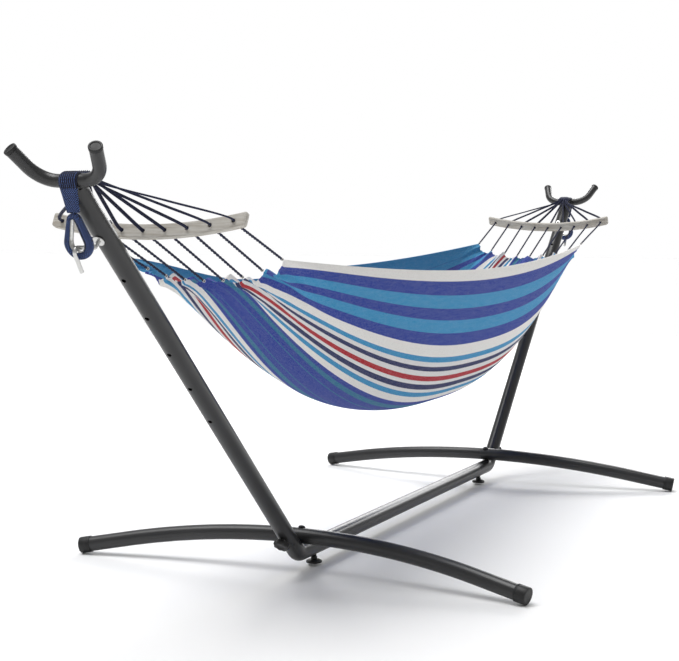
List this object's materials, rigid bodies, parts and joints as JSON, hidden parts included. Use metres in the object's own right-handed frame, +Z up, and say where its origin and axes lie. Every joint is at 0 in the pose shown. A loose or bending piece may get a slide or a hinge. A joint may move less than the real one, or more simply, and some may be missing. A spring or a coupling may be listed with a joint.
{
  "type": "hammock on stand",
  "caption": "Striped cloth hammock with wooden spreader bars, hung by cords and woven bands from a low tubular steel stand with two curved legs and slanted uprights.",
  "frame": {"origin": "on the floor, in the middle of the stand", "axes": "+X along the spine from the left end to the right end, +Y across the stand towards the back, +Z up"},
  "size_m": [3.2914, 1.21, 0.9908],
  "materials": {
    "powder_coat": "charcoal satin powder coat",
    "black_plastic": "matt moulded black",
    "zinc_plate": "bright zinc plate",
    "navy_rope": "twisted and woven cotton rope",
    "pale_wood": "whitewashed hardwood, sanded",
    "striped_cotton": "heavy woven cotton with lengthwise stripes"
  },
  "bodies": {
    "stand": {"spine": "powder_coat", "left_back_horn_plug": "black_plastic", "left_front_horn_plug": "black_plastic", "left_back_leg": "powder_coat", "left_front_leg": "powder_coat", "left_back_leg_cap": "black_plastic", "left_front_leg_cap": "black_plastic", "left_band": "navy_rope", "left_button_spring": "zinc_plate", "left_clamp_nut": "zinc_plate", "left_elbow": "powder_coat", "left_eye_loop": "navy_rope", "left_foot_nut": "zinc_plate", "left_hook": "zinc_plate", "left_hook_disc": "zinc_plate", "left_hook_nut": "zinc_plate", "left_horn": "powder_coat", "left_leg_bolt": "zinc_plate", "left_leg_nut": "zinc_plate", "left_thimble": "zinc_plate", "left_upright": "powder_coat", "right_back_horn_plug": "black_plastic", "right_front_horn_plug": "black_plastic", "right_back_leg": "powder_coat", "right_front_leg": "powder_coat", "right_back_leg_cap": "black_plastic", "right_front_leg_cap": "black_plastic", "right_band": "navy_rope", "right_button_spring": "zinc_plate", "right_clamp_nut": "zinc_plate", "right_elbow": "powder_coat", "right_eye_loop": "navy_rope", "right_foot_nut": "zinc_plate", "right_hook": "zinc_plate", "right_hook_disc": "zinc_plate", "right_hook_nut": "zinc_plate", "right_horn": "powder_coat", "right_leg_bolt": "zinc_plate", "right_leg_nut": "zinc_plate", "right_thimble": "zinc_plate", "right_upright": "powder_coat"},
    "hammock": {"bed_cloth": "striped_cotton", "left_cords": "navy_rope", "left_spreader_bar": "pale_wood", "right_cords": "navy_rope", "right_spreader_bar": "pale_wood"},
    "left_pad": {"left_foot_pad": "black_plastic"},
    "left_stud": {"left_foot_stud": "black_plastic"},
    "left_washer": {"left_clamp_washer": "zinc_plate"},
    "left_knob": {"left_clamp_knob": "black_plastic", "left_clamp_screw": "zinc_plate"},
    "left_button": {"left_spine_button": "zinc_plate"},
    "right_pad": {"right_foot_pad": "black_plastic"},
    "right_stud": {"right_foot_stud": "black_plastic"},
    "right_washer": {"right_clamp_washer": "zinc_plate"},
    "right_knob": {"right_clamp_knob": "black_plastic", "right_clamp_screw": "zinc_plate"},
    "right_button": {"right_spine_button": "zinc_plate"}
  },
  "joints": [
    {"name": "hammock_swing", "type": "hinge", "parent": "stand", "child": "hammock", "pos_m": [0, 0, 0.93734], "axis": [1, 0, 0], "range_deg": [-30, 30]},
    {"name": "left_foot_slide", "type": "slide", "parent": "stand", "child": "left_pad", "axis": [0, 0, 1], "range_m": [-0.005, 0.005]},
    {"name": "left_foot_turn", "type": "hinge", "parent": "left_pad", "child": "left_stud", "pos_m": [-0.599, 0, 0.03], "axis": [0, 0, 1], "range_deg": [-1030, 1030]},
    {"name": "left_clamp_slide", "type": "slide", "parent": "stand", "child": "left_washer", "axis": [-0.7022, 0, -0.712], "range_m": [0, 0.005]},
    {"name": "left_clamp_turn", "type": "hinge", "parent": "left_washer", "child": "left_knob", "pos_m": [-0.74881, 0, 0.10698], "axis": [-0.7022, 0, -0.712], "range_deg": [0, 1441]},
    {"name": "left_button_press", "type": "slide", "parent": "stand", "child": "left_button", "axis": [0, -1, 0], "range_m": [0, 0.0045], "stiffness_N_per_m": 1200, "springref_m": -0.002},
    {"name": "right_foot_slide", "type": "slide", "parent": "stand", "child": "right_pad", "axis": [0, 0, 1], "range_m": [-0.005, 0.005]},
    {"name": "right_foot_turn", "type": "hinge", "parent": "right_pad", "child": "right_stud", "pos_m": [0.599, 0, 0.03], "axis": [0, 0, 1], "range_deg": [-1030, 1030]},
    {"name": "right_clamp_slide", "type": "slide", "parent": "stand", "child": "right_washer", "axis": [0.7022, 0, -0.712], "range_m": [0, 0.005]},
    {"name": "right_clamp_turn", "type": "hinge", "parent": "right_washer", "child": "right_knob", "pos_m": [0.74881, 0, 0.10698], "axis": [0.7022, 0, -0.712], "range_deg": [0, 1441]},
    {"name": "right_button_press", "type": "slide", "parent": "stand", "child": "right_button", "axis": [0, -1, 0], "range_m": [0, 0.0045], "stiffness_N_per_m": 1200, "springref_m": -0.002}
  ],
  "couplings": [
    {"joint": "left_foot_turn", "follows": "left_foot_slide", "rad_per_m": 3590.4},
    {"joint": "left_clamp_turn", "follows": "left_clamp_slide", "rad_per_m": 5026.6},
    {"joint": "right_foot_turn", "follows": "right_foot_slide", "rad_per_m": 3590.4},
    {"joint": "right_clamp_turn", "follows": "right_clamp_slide", "rad_per_m": 5026.6}
  ]
}
